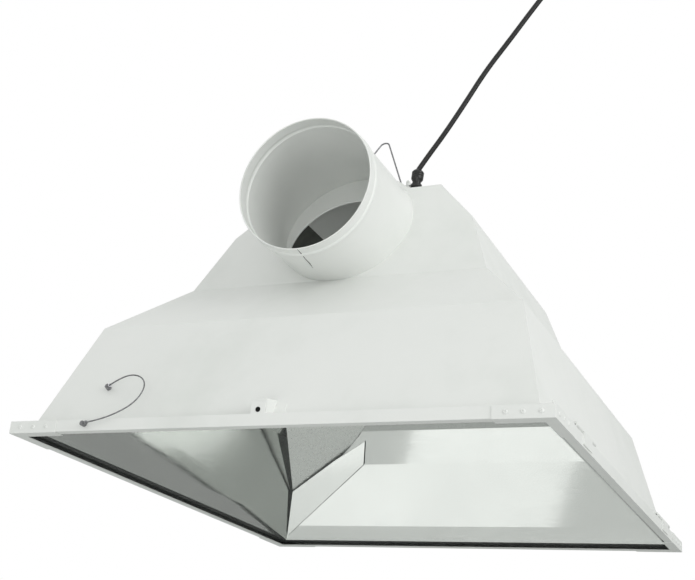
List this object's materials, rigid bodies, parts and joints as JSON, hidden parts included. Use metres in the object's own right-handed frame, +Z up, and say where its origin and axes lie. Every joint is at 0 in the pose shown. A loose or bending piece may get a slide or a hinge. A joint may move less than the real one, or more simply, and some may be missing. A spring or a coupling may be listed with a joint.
{
  "type": "grow lamp",
  "caption": "Air-cooled grow lamp: folded sheet-metal reflector hood with a duct collar at each end and a hinged glass lens frame.",
  "frame": {"origin": "bottom centre of the lens frame, on its underside", "axes": "+Z up, +Y from the front duct collar to the rear one, +X towards the hinge side"},
  "size_m": [0.773, 0.8596, 0.799],
  "materials": {
    "white_paint": "satin white powder coat",
    "specular_aluminium": "specular rolled reflector sheet",
    "hammertone_aluminium": "dimpled hammertone",
    "quartz": "clear",
    "arc_tube_ceramic": "matt sintered ceramic",
    "socket_ceramic": "glazed ceramic",
    "galvanised": "galvanised",
    "lead_sleeve": "woven silicone sleeve",
    "steel": "bright wire",
    "black_steel": "black oxide",
    "black_plastic": "moulded nylon",
    "black_rubber": "matt",
    "white_plastic": "satin",
    "lens_glass": "clear tempered"
  },
  "bodies": {
    "hood": {"front_panel": "white_paint", "rear_panel": "white_paint", "left_panel": "white_paint", "right_panel": "white_paint", "roof_panel": "white_paint", "front_collar": "white_paint", "rear_collar": "white_paint", "reflector_front": "specular_aluminium", "reflector_rear": "specular_aluminium", "reflector_left": "specular_aluminium", "reflector_right": "specular_aluminium", "corner_strips": "specular_aluminium", "corner_gussets": "hammertone_aluminium", "lamp_envelope": "quartz", "arc_tube": "arc_tube_ceramic", "lamp_ends": "arc_tube_ceramic", "front_socket": "socket_ceramic", "front_socket_bar": "galvanised", "rear_socket": "socket_ceramic", "rear_socket_bar": "galvanised", "lamp_crown": "specular_aluminium", "lamp_leads": "lead_sleeve", "front_hinge_upper_leaf": "white_paint", "front_hanger_bracket": "white_paint", "rear_hinge_upper_leaf": "white_paint", "rear_hanger_bracket": "white_paint", "hinge_pins": "steel", "hanger_rivets": "white_paint", "front_keeper": "white_paint", "rear_keeper": "white_paint", "left_keeper": "white_paint", "gland_body": "black_plastic", "gland_locknut": "black_plastic", "strain_relief": "black_rubber", "power_cord": "black_rubber", "ceiling_fitting": "white_plastic", "front_lanyard": "steel", "rear_lanyard": "steel", "lanyard_upper_anchors": "steel"},
    "lens_door": {"front_rail": "white_paint", "rear_rail": "white_paint", "left_rail": "white_paint", "right_rail": "white_paint", "front_right_corner_bracket": "white_paint", "front_left_corner_bracket": "white_paint", "rear_right_corner_bracket": "white_paint", "rear_left_corner_bracket": "white_paint", "corner_rivets": "white_paint", "lens_glass": "lens_glass", "lens_gasket": "black_rubber", "front_hinge_lower_leaf": "white_paint", "rear_hinge_lower_leaf": "white_paint", "lanyard_lower_anchors": "steel"},
    "front_hanger_swing": {"front_hanger": "steel"},
    "rear_hanger_swing": {"rear_hanger": "steel"},
    "front_latch": {"front_latch_screw": "black_steel"},
    "rear_latch": {"rear_latch_screw": "black_steel"},
    "left_latch": {"left_latch_screw": "black_steel"}
  },
  "joints": [
    {"name": "lens_door_hinge", "type": "hinge", "parent": "hood", "child": "lens_door", "pos_m": [0.38, 0, 0.022], "axis": [0, -1, 0], "range_deg": [0, 10], "deforming": ["front_lanyard", "rear_lanyard"]},
    {"name": "front_hanger_hinge", "type": "hinge", "parent": "hood", "child": "front_hanger_swing", "pos_m": [0, -0.131, 0.468], "axis": [1, 0, 0], "range_deg": [-80, 86]},
    {"name": "rear_hanger_hinge", "type": "hinge", "parent": "hood", "child": "rear_hanger_swing", "pos_m": [0, 0.131, 0.468], "axis": [-1, 0, 0], "range_deg": [-80, 86]},
    {"name": "front_latch_turn", "type": "hinge", "parent": "lens_door", "child": "front_latch", "pos_m": [0, -0.4208, 0.0225], "axis": [0, -1, 0], "range_deg": [0, 90]},
    {"name": "rear_latch_turn", "type": "hinge", "parent": "lens_door", "child": "rear_latch", "pos_m": [0, 0.4208, 0.0225], "axis": [0, 1, 0], "range_deg": [0, 90]},
    {"name": "left_latch_turn", "type": "hinge", "parent": "lens_door", "child": "left_latch", "pos_m": [-0.3843, 0, 0.0225], "axis": [-1, 0, 0], "range_deg": [0, 90]}
  ]
}
